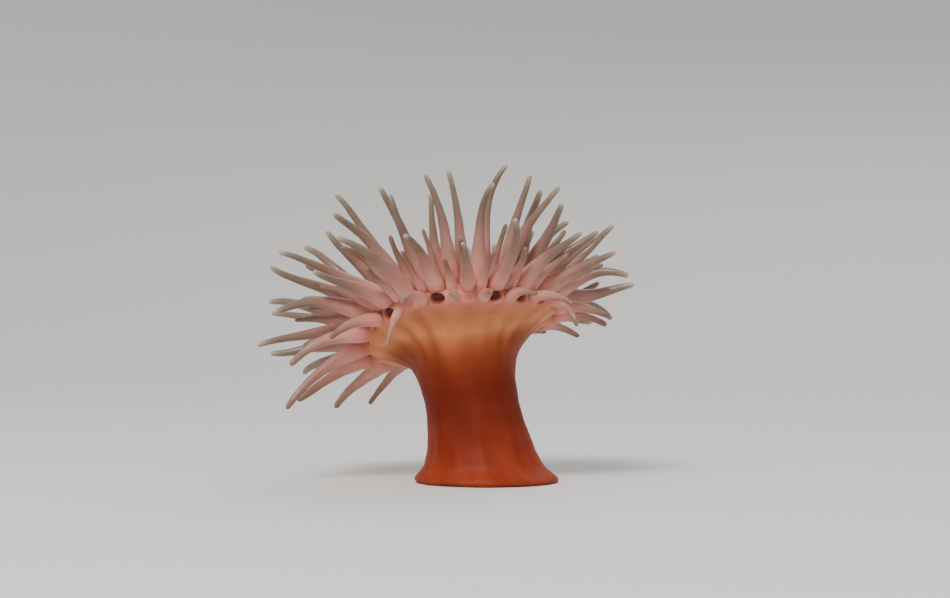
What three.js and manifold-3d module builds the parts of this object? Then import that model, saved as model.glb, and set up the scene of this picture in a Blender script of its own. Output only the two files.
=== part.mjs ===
// Sea anemone, life size, standing on its own pedal disc.
// Millimetres, +Z up, origin at the middle of the sole; +X and +Y are the frame's right and back.
// The body is turned round a curved axis: a smooth column flares into a disc that leans back and
// to one side, and four rows of tentacles stand on the disc's edge, with young ones between them.
import * as THREE from 'three';
import { mergeVertices } from 'three/addons/utils/BufferGeometryUtils.js';
import Module from 'manifold-3d';

const wasm = await Module();
wasm.setup();

// ---------- driving dimensions ----------
const AXIS_LENGTH = 31;             // height of the disc's edge, counted along the axis
const CROWN_CENTRE = [-5.2, 3.2, 30.2];
const AXIS_BENDS = [[-1.4, 0, 10], [-4.6, -0.6, 20.5]];   // the axis' two control points
const LEAN_LEFT = 8;                // degrees, how far the disc faces left
const LEAN_BACK = 23;               // degrees, how far the disc faces back
const SOLE_RADIUS = 13.8;
const COLUMN_RADIUS = 9.4;
const RIM_RADIUS = 18.9;
const SEGMENTS = 40;                // places round the disc where a tentacle can stand
const SECTORS = 10;                 // the crown is divided into this many equal sectors
const SECTOR_STEPS = 2;             // straight stretches of one sector's outline
const DISC_SEGMENTS = 20;
const COLUMN_SEGMENTS = 32;
const CUT = 0.3;                    // the thin cut between neighbouring pieces
const TOUCH = 0.002;                // mm3 of overlap that counts as touching
const WELD = 0.004;                 // corners closer than this are one after a cut or join
const SAME_POINT = 0.0001;          // and in a plain turned shape

// Waves round the disc's edge: how many, their share of the radius, and where they start.
const LOBES = [
  { count: 2, depth: 0.03, turn: 0.4 },
  { count: 3, depth: 0.02, turn: -1.1 },
  { count: 5, depth: 0.012, turn: 2 },
];
const EDGE_WAVE = { count: 3, height: 0.7, turn: 0.8 };   // the edge also rises and falls
const EDGE_RISE = { at: 60, height: 5, power: 4 };        // and stands highest on one side
const LOBE_HEIGHTS = [AXIS_LENGTH - 7, AXIS_LENGTH - 1];   // the waves grow between these heights
const LOBE_RADII = [6, 17];                               // and between these radii
const MOUTH_SLIT = 0.28;            // how far the mouth's width differs from its mean, as a share
const SLIT_HEIGHTS = [AXIS_LENGTH - 4, AXIS_LENGTH - 2];
const SLIT_RADII = [3, 9];
const LEAN_HEIGHTS = [2, AXIS_LENGTH - 4];                // the body turns between these heights

// Rows of tentacles from the edge inwards. line: the first of the two crown lines that the row
// stands between. odd: 1 for odd places. lift: degrees above the disc's plane, at root and tip.
// vary: how far the lift and the sideways swing of each tentacle differ, at root and tip.
// curl: how much of the bend and the hook it takes. Young tentacles fill the gaps of two rows.
const ROWS = [
  { name: 'margin', line: 0, odd: 1, length: 8.8, root: 1.35, tip: 0.42,
    curl: 0.5, lift: [8, -20], vary: [8, 18] },
  { name: 'outer', line: 1, odd: 0, length: 21, root: 2.05, tip: 0.5,
    curl: 1, lift: [27, 6], vary: [5, 11] },
  { name: 'middle', line: 2, odd: 1, length: 22.8, root: 2, tip: 0.5,
    curl: 1, lift: [51, 32], vary: [5, 11] },
  { name: 'inner', line: 3, odd: 0, length: 22.2, root: 1.85, tip: 0.5,
    curl: 1, lift: [74, 57], vary: [5, 11] },
  { name: 'young', line: 1, odd: 1, length: 8, root: 1.45, tip: 0.42,
    curl: 0.7, lift: [30, 18], vary: [6, 14] },
  { name: 'young', line: 2, odd: 0, length: 9.5, root: 1.45, tip: 0.42,
    curl: 0.7, lift: [50, 44], vary: [6, 14] },
];
const PER_ROW = SEGMENTS / 2;

// Single tentacles that stand differently: row, place in the row, then what is added to the
// lift at root and tip and to the swing at the tip in degrees, and factors on length and width.
const ODD_ONES = [
  [0, 1, 12, 14, 0, 0.85, 1],
  [0, 2, 10, 12, 0, 0.8, 1],
  [0, 12, -40, -50, 0, 0.78, 0.66],
  [0, 18, -32, -50, 0, 0.84, 0.75],
  [1, 0, -4, -10, 0, 0.9, 1],
  [1, 1, -3, -6, 0, 1, 1],
  [1, 10, 0, 4, 0, 0.94, 1],
  [1, 15, -6, -16, -20, 0.85, 1],
  [1, 18, -8, -10, 0, 0.88, 1],
  [1, 19, -3, -7, 0, 0.92, 1],
  [2, 10, -2, -6, 2, 1.06, 1],
  [2, 11, -8, -6, 0, 1, 1],
  [2, 15, 2, 2, 10, 1.06, 1],
  [2, 16, -2, -4, 14, 1, 1],
  [2, 17, -2, -6, 6, 0.88, 1],
  [2, 18, -4, -8, 4, 0.88, 1],
  [2, 19, -2, -8, 0, 0.95, 1],
  [3, 11, -4, -6, 0, 0.92, 1],
  [3, 14, 0, 0, 14, 0.9, 1],
  [3, 16, 0, 2, 4, 1.22, 1],
];

// How the tentacles sink at the disc's two sides, in degrees.
const SAG = 14;
const SAG_AT_ROOT = 0.6;
const SAG_AT_TIP = 1.2;
const SAG_MORE_LEFT = 0.4;
// The margin's tentacles hang lower in front, and grow longer and wider towards the two sides.
const FRONT_DROP = [4, 24];
const MARGIN_GROWS = [{ at: 165, share: 1, power: 3 }, { at: 10, share: 0.5, power: 5 }];
const MARGIN_LONGER = 1.1;
const MARGIN_WIDER = 0.32;
// How much one tentacle differs from the next: shares of its length and width, degrees of bend.
const SWING_AT_ROOT = 0.5;
const LENGTH_VARIES = 0.1;
const SHORTER_RIGHT = 0.08;
const WIDTH_VARIES = 0.1;
const YOUNG_LONGER = 0.7;           // towards the two sides
const WIDER_SIDES = 0.2;
const BEND = 17;
const HOOK = 28;
const HOOK_START = 0.62;

// Stations along a tentacle, as shares of its length, and the few that its solid needs.
const STATIONS = [0, 0.05, 0.14, 0.3, 0.5, 0.7, 0.88, 0.97, 1];
const FINGER_STATIONS = [2, 4, 6, 8];
const STATIONS_USED = { margin: [3, 6, 8], young: [4, 8] };
const SUBSTEPS = 4;
const FLARE = 2;                    // 1 is a straight cone, more is wider only near the root
const FULLER_SIDES = 0.4;           // how much less than that at the disc's two sides
const BULB = 2.4;                   // mm over which a root swells to its full width
const ROOT_WAIST = 0.76;            // the root's width where it leaves the flesh, against full width
const ROOT_POINT = 0.8;             // the buried end's width against the waist
const ROOT_DEPTH = 0.7;             // how deep a tentacle's root is set in the flesh
const BLUNT = 0.58;                 // the tip's last ring against the tip's width
const TIP_POINT = 0.45;             // how far the tip goes past its last ring, against its width
const FINGER_SIDES = 5;

// Tentacles that would touch lean away from each other, in a few rounds.
const APART = 0.4;                  // mm between neighbours
const LEAN_ROUNDS = 14;
const LEAN_SHARE = 0.6;             // how much of a lack of room is made up in one round
const FREE_STATION = 3;             // the first station that can move aside

// Outline of the body, as [height along the axis, radius].
const FOOT = [[0, SOLE_RADIUS], [0.6, 14.6], [1.5, 14], [2.4, 13]];
const LOWER = [[3.5, 12], [6.5, 10.9], [11, 9.95]];
const UPPER = [[16, COLUMN_RADIUS], [20, 9.6]];
const FOOT_TOP = 2.4;
const WAIST = 12;                   // the cut between the column's two lengths
const WAIST_RADIUS = 9.75;
const COLLAR_START = AXIS_LENGTH - 7.4;
const COLLAR_RADIUS = 10.4;
const COLLAR = [[-6.4, 10.8], [-4.4, 12.2], [-2.8, 14.4]];            // height from AXIS_LENGTH
const COLLAR_TOP = -2.15;
const COLLAR_TOP_RADII = [15.9, 13, 10, 6.5, 0];
const CROWN_BASE = COLLAR_TOP + CUT;
const CROWN_BASE_RADIUS = 16.6;
// The lines between rows of tentacles, as [height from AXIS_LENGTH, radius].
const CROWN_LINES = [[-1.1, 18.4], [1, RIM_RADIUS], [3, 17.3], [4.4, 15], [4.6, 12.6]];
// The cut between outer and inner sectors: each side's base radius and top point.
const OUTER_BASE_RADIUS = 14.2;
const INNER_BASE_RADIUS = 13.8;
const OUTER_TOP = [2.95, 17.4];
const INNER_TOP = [3.1, 17];
const DISC_RADIUS = 10.3;
const DISC_EDGE = 3;                // the height where the crown's inner side meets the disc
const MOUTH_RADIUS = 4.4;
const DISC_OUTLINE = [[2.65, DISC_RADIUS], [2.0, 8], [1.8, 6], [1.95, MOUTH_RADIUS + CUT]];
const THROAT = -0.6;                // the height of the throat's floor
const LIP_OUTLINE = [[2.1, MOUTH_RADIUS], [2.6, 3.6], [2.3, 2.6], [0.9, 1.7], [THROAT, 1.3]];

// ---------- the body's own space ----------
const radians = THREE.MathUtils.degToRad;
const smooth = THREE.MathUtils.smoothstep;
const axis = new THREE.CubicBezierCurve3(
  new THREE.Vector3(),
  new THREE.Vector3(...AXIS_BENDS[0]),
  new THREE.Vector3(...AXIS_BENDS[1]),
  new THREE.Vector3(...CROWN_CENTRE),
);
const UP = new THREE.Vector3(0, 0, 1);
const crownNormal = new THREE.Vector3(
  -Math.tan(radians(LEAN_LEFT)), Math.tan(radians(LEAN_BACK)), 1).normalize();

// The axis at a height: its point and the directions right, back and up of the slice there.
function slice(height) {
  const up = UP.clone().lerp(crownNormal, smooth(height, ...LEAN_HEIGHTS)).normalize();
  const right = new THREE.Vector3(1, 0, 0).addScaledVector(up, -up.x).normalize();
  const back = up.clone().cross(right);
  const middle = axis.getPoint(Math.min(1, height / AXIS_LENGTH));
  middle.addScaledVector(up, Math.max(0, height - AXIS_LENGTH));
  return { middle, right, back, up };
}

// 1 where an angle points a given way, in degrees, and 0 where it points the other way.
function towards(angle, way) {
  return 0.5 + 0.5 * Math.cos(angle - radians(way));
}

// The disc's edge is gently lobed, and its mouth is a slit rather than a round hole.
function lobes(angle) {
  return LOBES.reduce((sum, { count, depth, turn }) => sum + depth * Math.cos(count * angle + turn), 0);
}

function bodyPoint(angle, height, radius) {
  const { middle, right, back, up } = slice(height);
  const edge = smooth(height, ...LOBE_HEIGHTS) * smooth(radius, ...LOBE_RADII);
  const inside = smooth(height, ...SLIT_HEIGHTS) * (1 - smooth(radius, ...SLIT_RADII));
  const slit = MOUTH_SLIT * Math.cos(2 * angle) * inside;
  const reach = radius * (1 + edge * lobes(angle) + slit);
  const wave = EDGE_WAVE.height * Math.cos(EDGE_WAVE.count * angle + EDGE_WAVE.turn);
  const rise = EDGE_RISE.height * towards(angle, EDGE_RISE.at) ** EDGE_RISE.power;
  return middle
    .addScaledVector(right, reach * Math.cos(angle))
    .addScaledVector(back, reach * Math.sin(angle))
    .addScaledVector(up, edge * (wave + rise));
}

// ---------- tentacles ----------
// An even spread of values from -1 to 1, one for each tentacle and purpose.
function spread(tentacle, purpose) {
  const turn = tentacle * 0.6180339887 + purpose * 0.7548776662;
  return 2 * (turn - Math.floor(turn)) - 1;
}

// Where a tentacle stands, its size, and how it rises and swings along its length, in degrees.
function tentaclePose(rowIndex, place) {
  const row = ROWS[rowIndex];
  const number = place + PER_ROW * rowIndex;
  const angle = 2 * Math.PI * (2 * place + row.odd + 0.5) / SEGMENTS;
  const [low, high] = [CROWN_LINES[row.line], CROWN_LINES[row.line + 1]];
  const height = AXIS_LENGTH + (low[0] + high[0]) / 2;
  const root = bodyPoint(angle, height, (low[1] + high[1]) / 2);
  const { right, back, up } = slice(height);
  const out = right.clone().multiplyScalar(Math.cos(angle)).addScaledVector(back, Math.sin(angle));
  const along = up.clone().cross(out);

  const [rootVary, tipVary] = row.vary;
  const sag = SAG * Math.cos(angle) ** 2 * (1 - SAG_MORE_LEFT * Math.cos(angle));
  const lift = [
    row.lift[0] + rootVary * spread(number, 1) - SAG_AT_ROOT * sag,
    row.lift[1] + tipVary * spread(number, 2) - SAG_AT_TIP * sag,
  ];
  const swing = [SWING_AT_ROOT * rootVary * spread(number, 3), tipVary * spread(number, 4)];
  let length = row.length * (1 + LENGTH_VARIES * spread(number, 7));
  length *= 1 - SHORTER_RIGHT * Math.cos(angle);
  let width = 1 + WIDTH_VARIES * spread(number, 10) + WIDER_SIDES * Math.abs(Math.cos(angle));
  if (row.name === 'margin') {
    const front = Math.max(0, -Math.sin(angle)) ** 2;
    lift[0] -= FRONT_DROP[0] * front;
    lift[1] -= FRONT_DROP[1] * front;
    const growth = MARGIN_GROWS.reduce((sum, { at, share, power }) => (
      sum + share * towards(angle, at) ** power), 0);
    length *= 1 + MARGIN_LONGER * growth;
    width *= 1 + MARGIN_WIDER * growth;
  }
  if (row.name === 'young') length *= 1 + YOUNG_LONGER * Math.abs(Math.cos(angle));
  for (const [oddRow, oddPlace, rootLift, tipLift, tipSwing, longer, wider] of ODD_ONES) {
    if (oddRow === rowIndex && oddPlace === place) {
      lift[0] += rootLift;
      lift[1] += tipLift;
      swing[1] += tipSwing;
      length *= longer;
      width *= wider;
    }
  }
  return {
    root, out, along, up, lift, swing, length,
    bend: [5, 6].map((purpose) => row.curl * BEND * spread(number, purpose)),
    hook: [8, 9].map((purpose) => row.curl * HOOK * spread(number, purpose)),
    flare: FLARE - FULLER_SIDES * Math.abs(Math.cos(angle)),
    wide: row.root * width,
    narrow: row.tip * width,
  };
}

// The way a tentacle points at a share of its length.
function direction(pose, share) {
  const { out, along, up, lift, swing, bend, hook } = pose;
  const wave = Math.sin(2 * Math.PI * share) * share;
  const end = smooth(share, HOOK_START, 1);
  const rise = radians(lift[0] + (lift[1] - lift[0]) * share + bend[0] * wave + hook[0] * end);
  const turn = radians(swing[0] + (swing[1] - swing[0]) * share + bend[1] * wave + hook[1] * end);
  return out.clone().multiplyScalar(Math.cos(rise) * Math.cos(turn))
    .addScaledVector(along, Math.cos(rise) * Math.sin(turn))
    .addScaledVector(up, Math.sin(rise));
}

// A tentacle's centre, directions and radius at each station.
function follow(pose) {
  const { root, along, length, wide, narrow, flare } = pose;
  const centre = root.clone();
  return STATIONS.map((share, index) => {
    const before = STATIONS[Math.max(0, index - 1)];
    const step = (share - before) / SUBSTEPS;
    for (let sub = 0; sub < SUBSTEPS; sub += 1) {
      centre.addScaledVector(direction(pose, before + (sub + 0.5) * step), step * length);
    }
    const bulb = ROOT_WAIST + (1 - ROOT_WAIST) * Math.min(1, share * length / BULB);
    const radius = (narrow + (wide - narrow) * (1 - share) ** flare) * bulb;
    const ahead = direction(pose, share);
    const side = along.clone().addScaledVector(ahead, -ahead.dot(along)).normalize();
    return { centre: centre.clone(), ahead, side, over: ahead.clone().cross(side), radius };
  });
}

// Turns a tentacle's end so that its centre at a station moves by a small step.
function leanAway(pose, station, share, step) {
  const reach = pose.length * share * share / 2;
  pose.lift[1] += THREE.MathUtils.radToDeg(step.dot(station.over) / reach);
  pose.swing[1] += THREE.MathUtils.radToDeg(step.dot(station.side) / reach);
}

function keepApart(poses) {
  for (let round = 0; round < LEAN_ROUNDS; round += 1) {
    const runs = poses.map(follow);
    for (let a = 0; a < runs.length; a += 1) {
      for (let b = a + 1; b < runs.length; b += 1) {
        pushApart(poses[a], runs[a], poses[b], runs[b]);
      }
    }
  }
}

// Moves two tentacles apart where they come closest, if they are too close there.
function pushApart(poseA, runA, poseB, runB) {
  let worst = { lack: 0 };
  for (let i = FREE_STATION; i < STATIONS.length; i += 1) {
    for (let k = FREE_STATION; k < STATIONS.length; k += 1) {
      const apart = runA[i].centre.distanceTo(runB[k].centre);
      const lack = runA[i].radius + runB[k].radius + APART - apart;
      if (lack > worst.lack) worst = { lack, i, k, apart };
    }
  }
  if (worst.lack === 0) return;
  const { lack, i, k, apart } = worst;
  const step = runA[i].centre.clone().sub(runB[k].centre).multiplyScalar(LEAN_SHARE * lack / apart / 2);
  leanAway(poseA, runA[i], STATIONS[i], step);
  leanAway(poseB, runB[k], STATIONS[k], step.negate());
}

const POSES = ROWS.map((row, rowIndex) => (
  Array.from({ length: PER_ROW }, (_, place) => tentaclePose(rowIndex, place))));
keepApart(POSES.flat());

// ---------- solids ----------
// A geometry whose points are moved by a function, as one closed skin with its faces outwards.
function reshape(geometry, move) {
  const moved = geometry.index ? geometry.toNonIndexed() : geometry.clone();
  moved.deleteAttribute('normal');
  moved.deleteAttribute('uv');
  const position = moved.attributes.position;
  const point = new THREE.Vector3();
  for (let i = 0; i < position.count; i += 1) {
    point.fromBufferAttribute(position, i);
    const to = move(point);
    position.setXYZ(i, to.x, to.y, to.z);
  }
  return faceOutwards(mergeVertices(moved, SAME_POINT));
}

// Drops the flat triangles at a turned shape's poles, and turns an inside-out skin round.
function faceOutwards(geometry) {
  const { position } = geometry.attributes;
  const corner = (i) => new THREE.Vector3().fromBufferAttribute(position, i);
  const triangles = [];
  let volume = 0;
  for (let i = 0; i < geometry.index.count; i += 3) {
    const [a, b, c] = [0, 1, 2].map((k) => geometry.index.getX(i + k));
    if (a !== b && b !== c && c !== a) {
      triangles.push([a, b, c]);
      volume += corner(a).dot(corner(b).cross(corner(c)));
    }
  }
  if (volume < 0) triangles.forEach((triangle) => triangle.reverse());
  geometry.setIndex(triangles.flat());
  return geometry;
}

function toSolid(geometry) {
  return new wasm.Manifold(new wasm.Mesh({
    numProp: 3,
    vertProperties: new Float32Array(geometry.attributes.position.array),
    triVerts: new Uint32Array(geometry.index.array),
  }));
}

function toGeometry(solid) {
  const mesh = solid.getMesh();
  const geometry = new THREE.BufferGeometry();
  geometry.setAttribute('position', new THREE.BufferAttribute(new Float32Array(mesh.vertProperties), 3));
  geometry.setIndex(new THREE.BufferAttribute(new Uint32Array(mesh.triVerts), 1));
  return faceOutwards(mergeVertices(geometry, WELD));
}

// A round of the body: an outline of [height, radius], turned and then bent onto the axis.
function round(outline, segments = SEGMENTS) {
  const points = outline.map(([height, radius]) => new THREE.Vector2(radius, height));
  const lathe = new THREE.LatheGeometry(points, segments);
  return reshape(lathe, (p) => bodyPoint(Math.atan2(-p.z, p.x), p.y, Math.hypot(p.x, p.z)));
}

function onCrown(outline) {
  return outline.map(([height, radius]) => [AXIS_LENGTH + height, radius]);
}

// One sector of the crown: its cross-section drawn as a shape, carried round the axis.
function crownSector(section, sector) {
  const shape = new THREE.Shape(section.map(([height, radius]) => new THREE.Vector2(radius, height)));
  const block = new THREE.ExtrudeGeometry(shape, { depth: 1, steps: SECTOR_STEPS, bevelEnabled: false });
  const start = 2 * Math.PI * sector / SECTORS;
  return reshape(block, (p) => {
    const margin = CUT / 2 / p.x;
    const angle = start + margin + p.z * (2 * Math.PI / SECTORS - 2 * margin);
    return bodyPoint(angle, AXIS_LENGTH + p.y, p.x);
  });
}

// One tentacle: a tapered finger turned on its own axis, then laid along its run.
function finger(rowIndex, place, grow = 0) {
  const run = follow(POSES[rowIndex][place]);
  const used = STATIONS_USED[ROWS[rowIndex].name] ?? FINGER_STATIONS;
  const root = run[0];
  const depth = ROOT_DEPTH + grow;
  const buried = { ...root, centre: root.centre.clone().addScaledVector(root.ahead, -depth) };
  const rings = [buried, ...used.map((index) => run[index])];
  const last = rings[rings.length - 1];
  const radii = rings.map((ring) => ring.radius + grow);
  radii[0] *= ROOT_POINT;
  radii[radii.length - 1] = BLUNT * last.radius + grow;
  const profile = [new THREE.Vector2(0, 0)];
  radii.forEach((radius, index) => profile.push(new THREE.Vector2(radius, index)));
  profile.push(new THREE.Vector2(0, rings.length));
  const tip = last.centre.clone().addScaledVector(last.ahead, TIP_POINT * last.radius + grow);
  const lathe = new THREE.LatheGeometry(profile, FINGER_SIDES);
  return reshape(lathe, (p) => {
    const index = Math.round(p.y);
    if (index === rings.length) return tip;
    const { centre, side, over } = rings[index];
    return centre.clone().addScaledVector(side, p.x).addScaledVector(over, -p.z);
  });
}

// ---------- sub-parts ----------
const OUTER_SECTION = [
  [CROWN_BASE, OUTER_BASE_RADIUS], [CROWN_BASE, CROWN_BASE_RADIUS],
  CROWN_LINES[0], CROWN_LINES[1], OUTER_TOP,
];
const INNER_SECTION = [
  [CROWN_BASE, DISC_RADIUS + CUT], [CROWN_BASE, INNER_BASE_RADIUS],
  INNER_TOP, CROWN_LINES[3], CROWN_LINES[4], [DISC_EDGE, DISC_RADIUS + CUT],
];
const RINGS_OF_SECTORS = [
  { name: 'tentacles_outer', section: OUTER_SECTION, rows: [0, 1, 4] },
  { name: 'tentacles_inner', section: INNER_SECTION, rows: [2, 3, 5] },
];

// Every tentacle of the crown with the sector that it grows from, counted through both rings.
function listTentacles() {
  const list = [];
  RINGS_OF_SECTORS.forEach((ring, ringIndex) => {
    for (const row of ring.rows) {
      for (let place = 0; place < PER_ROW; place += 1) {
        const owner = SECTORS * ringIndex + Math.floor(place * SECTORS / PER_ROW);
        list.push({
          owner,
          body: toSolid(finger(row, place)),
          clearance: toSolid(finger(row, place, CUT)),
        });
      }
    }
  });
  return list;
}

function largestPiece(solid) {
  const pieces = solid.decompose();
  return pieces.reduce((best, piece) => (piece.volume() > best.volume() ? piece : best));
}

// Takes away the room that the given tentacles need, where they reach into a solid.
function makeRoom(solid, tentacles) {
  return tentacles.reduce((rest, { body, clearance }) => (
    rest.intersect(body).volume() > TOUCH ? rest.subtract(clearance) : rest), solid);
}

// A sector with its own tentacles joined on. Where roots of two sectors press together, the one
// that is counted later keeps its shape.
function buildSector(ring, ringIndex, sector, tentacles) {
  const owner = SECTORS * ringIndex + sector;
  const others = tentacles.filter((tentacle) => tentacle.owner !== owner);
  let solid = makeRoom(toSolid(crownSector(ring.section, sector)), others);
  for (const tentacle of tentacles) {
    if (tentacle.owner === owner) solid = solid.add(tentacle.body);
  }
  solid = makeRoom(solid, others.filter((tentacle) => tentacle.owner > owner));
  return toGeometry(largestPiece(solid));
}

const group = new THREE.Group();

function addPart(name, geometry, color, roughness) {
  const material = new THREE.MeshStandardMaterial({ color, roughness, metalness: 0 });
  const mesh = new THREE.Mesh(geometry, material);
  mesh.name = name;
  group.add(mesh);
}

const COLUMN_COLOUR = 0x7f3019;
const COLLAR_COLOUR = 0xb97a52;
const CROWN_COLOUR = 0xc48a80;
const DISC_COLOUR = 0xa86f58;
const SMOOTH_SKIN = 0.35;

addPart('pedal_disc', round([[0, 0], ...FOOT, [FOOT_TOP, 0]], COLUMN_SEGMENTS), COLUMN_COLOUR, SMOOTH_SKIN);
addPart('column_lower', round([
  [FOOT_TOP, 0], FOOT[FOOT.length - 1], ...LOWER, [WAIST, WAIST_RADIUS], [WAIST, 0],
], COLUMN_SEGMENTS), COLUMN_COLOUR, SMOOTH_SKIN);
addPart('column_upper', round([
  [WAIST, 0], [WAIST, WAIST_RADIUS], ...UPPER, [COLLAR_START, COLLAR_RADIUS], [COLLAR_START, 0],
], COLUMN_SEGMENTS), COLUMN_COLOUR, SMOOTH_SKIN);
addPart('collar', round([
  [COLLAR_START, 0], [COLLAR_START, COLLAR_RADIUS], ...onCrown(COLLAR),
  ...onCrown(COLLAR_TOP_RADII.map((radius) => [COLLAR_TOP, radius])),
]), COLLAR_COLOUR, SMOOTH_SKIN);
addPart('oral_disc', round(onCrown([
  [CROWN_BASE, MOUTH_RADIUS + CUT], [CROWN_BASE, DISC_RADIUS], ...DISC_OUTLINE,
  [CROWN_BASE, MOUTH_RADIUS + CUT],
]), DISC_SEGMENTS), DISC_COLOUR, SMOOTH_SKIN);
addPart('mouth', round(onCrown([
  [CROWN_BASE, 0], [CROWN_BASE, MOUTH_RADIUS], ...LIP_OUTLINE, [THROAT, 0],
]), DISC_SEGMENTS), DISC_COLOUR, SMOOTH_SKIN);

const tentacles = listTentacles();
RINGS_OF_SECTORS.forEach((ring, ringIndex) => {
  for (let sector = 0; sector < SECTORS; sector += 1) {
    const number = String(sector + 1).padStart(2, '0');
    const geometry = buildSector(ring, ringIndex, sector, tentacles);
    addPart(`${ring.name}_${number}`, geometry, CROWN_COLOUR, SMOOTH_SKIN);
  }
});

export default group;
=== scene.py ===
import math

import bmesh
import bpy
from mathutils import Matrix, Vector, noise


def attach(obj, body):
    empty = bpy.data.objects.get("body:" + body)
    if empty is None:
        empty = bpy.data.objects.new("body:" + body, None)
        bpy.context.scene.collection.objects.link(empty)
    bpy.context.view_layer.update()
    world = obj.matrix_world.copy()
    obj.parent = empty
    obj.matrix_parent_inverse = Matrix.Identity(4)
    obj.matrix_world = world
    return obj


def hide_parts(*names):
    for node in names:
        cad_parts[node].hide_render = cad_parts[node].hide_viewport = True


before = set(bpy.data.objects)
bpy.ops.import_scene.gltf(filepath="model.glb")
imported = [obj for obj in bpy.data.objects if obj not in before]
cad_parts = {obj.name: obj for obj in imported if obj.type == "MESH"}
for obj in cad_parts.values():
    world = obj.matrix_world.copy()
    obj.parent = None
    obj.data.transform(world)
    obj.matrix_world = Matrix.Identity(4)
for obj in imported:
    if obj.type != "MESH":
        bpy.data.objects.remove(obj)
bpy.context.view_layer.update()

# ---------- sizes, in millimetres ----------
MM = 0.001
AXIS_LENGTH = 31                    # height of the disc's edge, counted along the axis
CROWN_CENTRE = Vector((-5.2, 3.2, 30.2))
AXIS_BENDS = (Vector((-1.4, 0, 10)), Vector((-4.6, -0.6, 20.5)))
LEAN_LEFT = math.radians(8)         # how far the disc faces left
LEAN_BACK = math.radians(23)        # how far the disc faces back
SEGMENTS = 40                       # places round the disc where a tentacle can stand
PER_ROW = SEGMENTS // 2
UP = Vector((0, 0, 1))
CROWN_NORMAL = Vector((-math.tan(LEAN_LEFT), math.tan(LEAN_BACK), 1)).normalized()

# Waves round the disc's edge: how many, their share of the radius, and where they start.
LOBES = ((2, 0.03, 0.4), (3, 0.02, -1.1), (5, 0.012, 2))
EDGE_WAVE = {"count": 3, "height": 0.7, "turn": 0.8}
EDGE_RISE = {"at": 60, "height": 5, "power": 4}     # the edge stands highest on one side
LOBE_HEIGHTS = (AXIS_LENGTH - 7, AXIS_LENGTH - 1)   # between these the waves grow to their full
LOBE_RADII = (6, 17)
MOUTH_SLIT = 0.28                   # how far the mouth's width differs from its mean, as a share
SLIT_HEIGHTS = (AXIS_LENGTH - 4, AXIS_LENGTH - 2)
SLIT_RADII = (3, 9)
LEAN_HEIGHTS = (2, AXIS_LENGTH - 4)     # between these the slices turn to face as the disc does

# Rows of tentacles from the edge inwards. line: the first of the two crown lines that the row
# stands between. odd: 1 for odd places. lift: degrees above the disc's plane, at root and tip.
# vary: how far the lift and the sideways swing of each tentacle differ, at root and tip.
# curl: how much of the bend and the hook it takes. pink: the share of a full tentacle's colours,
# from the root up, that it shows. Young tentacles fill the gaps of two rows.
ROWS = (
    {"name": "margin", "line": 0, "odd": 1, "length": 8.8, "root": 1.35, "tip": 0.42,
     "curl": 0.5, "lift": (8, -20), "vary": (8, 18), "pink": 0.62},
    {"name": "outer", "line": 1, "odd": 0, "length": 21, "root": 2.05, "tip": 0.5,
     "curl": 1, "lift": (27, 6), "vary": (5, 11), "pink": 1},
    {"name": "middle", "line": 2, "odd": 1, "length": 22.8, "root": 2, "tip": 0.5,
     "curl": 1, "lift": (51, 32), "vary": (5, 11), "pink": 1},
    {"name": "inner", "line": 3, "odd": 0, "length": 22.2, "root": 1.85, "tip": 0.5,
     "curl": 1, "lift": (74, 57), "vary": (5, 11), "pink": 1},
    {"name": "young", "line": 1, "odd": 1, "length": 8, "root": 1.45, "tip": 0.42,
     "curl": 0.7, "lift": (30, 18), "vary": (6, 14), "pink": 0.8},
    {"name": "young", "line": 2, "odd": 0, "length": 9.5, "root": 1.45, "tip": 0.42,
     "curl": 0.7, "lift": (50, 44), "vary": (6, 14), "pink": 0.8},
)

# Single tentacles that stand differently: (row, place), then what is added to the lift at root
# and tip and to the swing at the tip in degrees, and factors on the length and width.
ODD_ONES = {
    (0, 1): (12, 14, 0, 0.85, 1),
    (0, 2): (10, 12, 0, 0.8, 1),
    (0, 12): (-40, -50, 0, 0.78, 0.66),
    (0, 18): (-32, -50, 0, 0.84, 0.75),
    (1, 0): (-4, -10, 0, 0.9, 1),
    (1, 1): (-3, -6, 0, 1, 1),
    (1, 10): (0, 4, 0, 0.94, 1),
    (1, 15): (-6, -16, -20, 0.85, 1),
    (1, 18): (-8, -10, 0, 0.88, 1),
    (1, 19): (-3, -7, 0, 0.92, 1),
    (2, 10): (-2, -6, 2, 1.06, 1),
    (2, 11): (-8, -6, 0, 1, 1),
    (2, 15): (2, 2, 10, 1.06, 1),
    (2, 16): (-2, -4, 14, 1, 1),
    (2, 17): (-2, -6, 6, 0.88, 1),
    (2, 18): (-4, -8, 4, 0.88, 1),
    (2, 19): (-2, -8, 0, 0.95, 1),
    (3, 11): (-4, -6, 0, 0.92, 1),
    (3, 14): (0, 0, 14, 0.9, 1),
    (3, 16): (0, 2, 4, 1.22, 1),
}
NO_CHANGE = (0, 0, 0, 1, 1)

# How the tentacles sink at the disc's two sides, in degrees, and the shares of it that count.
SAG = 14
SAG_AT_ROOT = 0.6
SAG_AT_TIP = 1.2
SAG_MORE_LEFT = 0.4
# The margin's tentacles hang lower in front, at root and tip, and grow towards the two sides.
FRONT_DROP = (4, 24)
MARGIN_GROWS = ({"at": 165, "share": 1, "power": 3}, {"at": 10, "share": 0.5, "power": 5})
MARGIN_LONGER = 1.1
MARGIN_WIDER = 0.32
# How much one tentacle differs from the next, as shares of its swing, length and width.
SWING_AT_ROOT = 0.5
LENGTH_VARIES = 0.1
WIDTH_VARIES = 0.1
# How the side on which a tentacle stands changes it.
SHORTER_RIGHT = 0.08
YOUNG_LONGER = 0.7                  # towards the two sides
WIDER_SIDES = 0.2
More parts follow.
